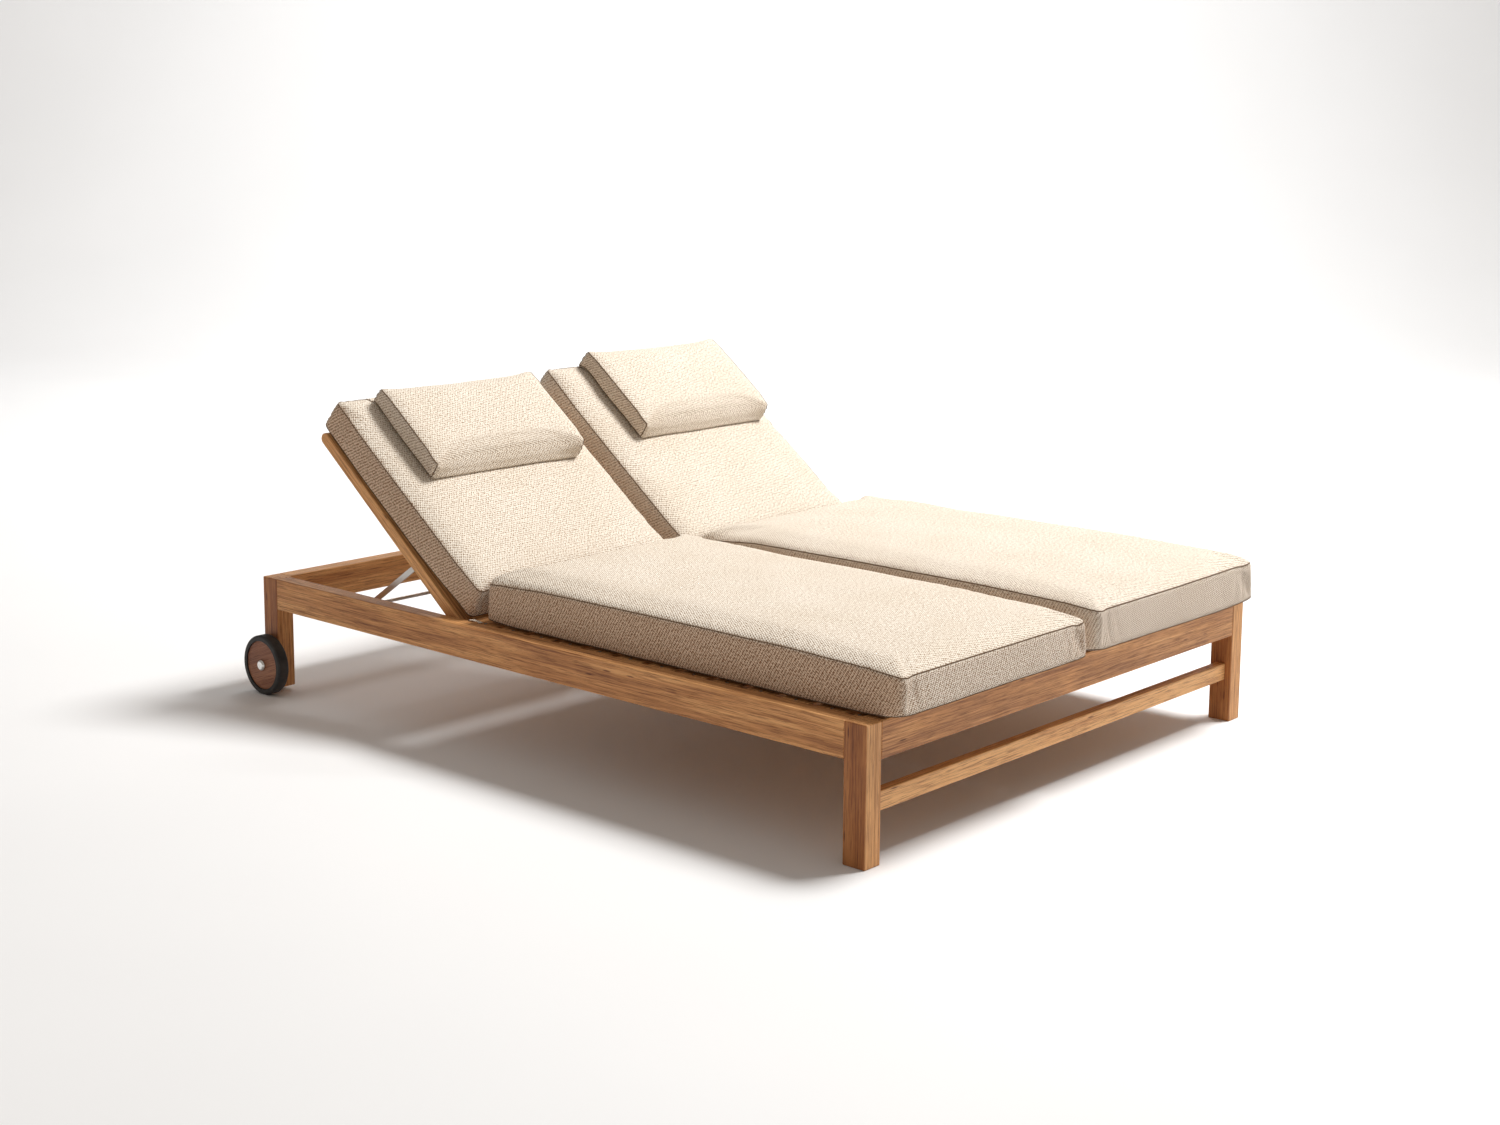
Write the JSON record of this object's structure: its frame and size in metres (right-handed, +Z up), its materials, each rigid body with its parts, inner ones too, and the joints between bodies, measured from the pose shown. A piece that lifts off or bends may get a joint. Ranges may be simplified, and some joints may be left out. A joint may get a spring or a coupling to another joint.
{
  "type": "reclining sun lounger",
  "caption": "Low double timber lounger on head-end wheels, with slatted seat, separately reclining backrests on steel stays, box cushions and head pillows.",
  "frame": {"origin": "on the ground, under the middle of the whole lounger", "axes": "+X towards the foot end, +Y towards the far side, +Z up"},
  "size_m": [2.0824, 1.5926, 0.8373],
  "materials": {
    "teak": "oiled, satin",
    "wheel_wood": "oiled, satin",
    "tyre": "matt rubber",
    "steel": "brushed",
    "cap_steel": "polished",
    "cushion_fabric": "coarse woven, matt"
  },
  "bodies": {
    "frame": {"leg_foot_near": "teak", "leg_head_near": "teak", "side_rail_near": "teak", "slat_cleat_near": "teak", "stay_racks_near": "teak", "axle_near": "steel", "axle_cap_near": "cap_steel", "seat_cushion_near": "cushion_fabric", "leg_foot_far": "teak", "leg_head_far": "teak", "side_rail_far": "teak", "slat_cleat_far": "teak", "stay_racks_far": "teak", "axle_far": "steel", "axle_cap_far": "cap_steel", "seat_cushion_far": "cushion_fabric", "head_rail": "teak", "foot_rail": "teak", "stretcher": "teak", "centre_rail": "teak", "slat_screws": "steel", "hinge_pins": "steel", "seat_slat_01": "teak", "seat_slat_02": "teak", "seat_slat_03": "teak", "seat_slat_04": "teak", "seat_slat_05": "teak", "seat_slat_06": "teak", "seat_slat_07": "teak", "seat_slat_08": "teak", "seat_slat_09": "teak", "seat_slat_10": "teak", "seat_slat_11": "teak", "seat_slat_12": "teak", "closing_slat": "teak"},
    "back_near": {"back_stile_outer_near": "teak", "back_stile_inner_near": "teak", "back_slats_near": "teak", "stay_lugs_near": "steel", "back_cushion_near": "cushion_fabric", "head_pillow_near": "cushion_fabric", "pillow_flap_near": "cushion_fabric"},
    "stay_near": {"stay_arms_near": "steel", "stay_rod_near": "steel"},
    "wheel_near": {"wheel_disc_near": "wheel_wood", "wheel_tyre_near": "tyre"},
    "back_far": {"back_stile_outer_far": "teak", "back_stile_inner_far": "teak", "back_slats_far": "teak", "stay_lugs_far": "steel", "back_cushion_far": "cushion_fabric", "head_pillow_far": "cushion_fabric", "pillow_flap_far": "cushion_fabric"},
    "stay_far": {"stay_arms_far": "steel", "stay_rod_far": "steel"},
    "wheel_far": {"wheel_disc_far": "wheel_wood", "wheel_tyre_far": "tyre"}
  },
  "joints": [
    {"name": "back_near_recline", "type": "hinge", "parent": "frame", "child": "back_near", "pos_m": [-0.29775, -0.3615, 0.282], "axis": [0, 1, 0], "range_deg": [-38.3, 16.7]},
    {"name": "stay_near_swing", "type": "hinge", "parent": "back_near", "child": "stay_near", "pos_m": [-0.48168, -0.3615, 0.39923], "axis": [0, 1, 0], "range_deg": [-31.66, 72.49]},
    {"name": "wheel_near_spin", "type": "hinge", "parent": "frame", "child": "wheel_near", "pos_m": [-0.96375, -0.776, 0.0775], "axis": [0, 1, 0], "continuous": true},
    {"name": "back_far_recline", "type": "hinge", "parent": "frame", "child": "back_far", "pos_m": [-0.29775, 0.3615, 0.282], "axis": [0, 1, 0], "range_deg": [-38.3, 16.7]},
    {"name": "stay_far_swing", "type": "hinge", "parent": "back_far", "child": "stay_far", "pos_m": [-0.48168, 0.3615, 0.39923], "axis": [0, 1, 0], "range_deg": [-31.66, 72.49]},
    {"name": "wheel_far_spin", "type": "hinge", "parent": "frame", "child": "wheel_far", "pos_m": [-0.96375, 0.776, 0.0775], "axis": [0, 1, 0], "continuous": true}
  ],
  "couplings": [
    {"joint": "stay_near_swing", "follows": "back_near_recline", "ratio": -1.89},
    {"joint": "stay_far_swing", "follows": "back_far_recline", "ratio": -1.89}
  ]
}
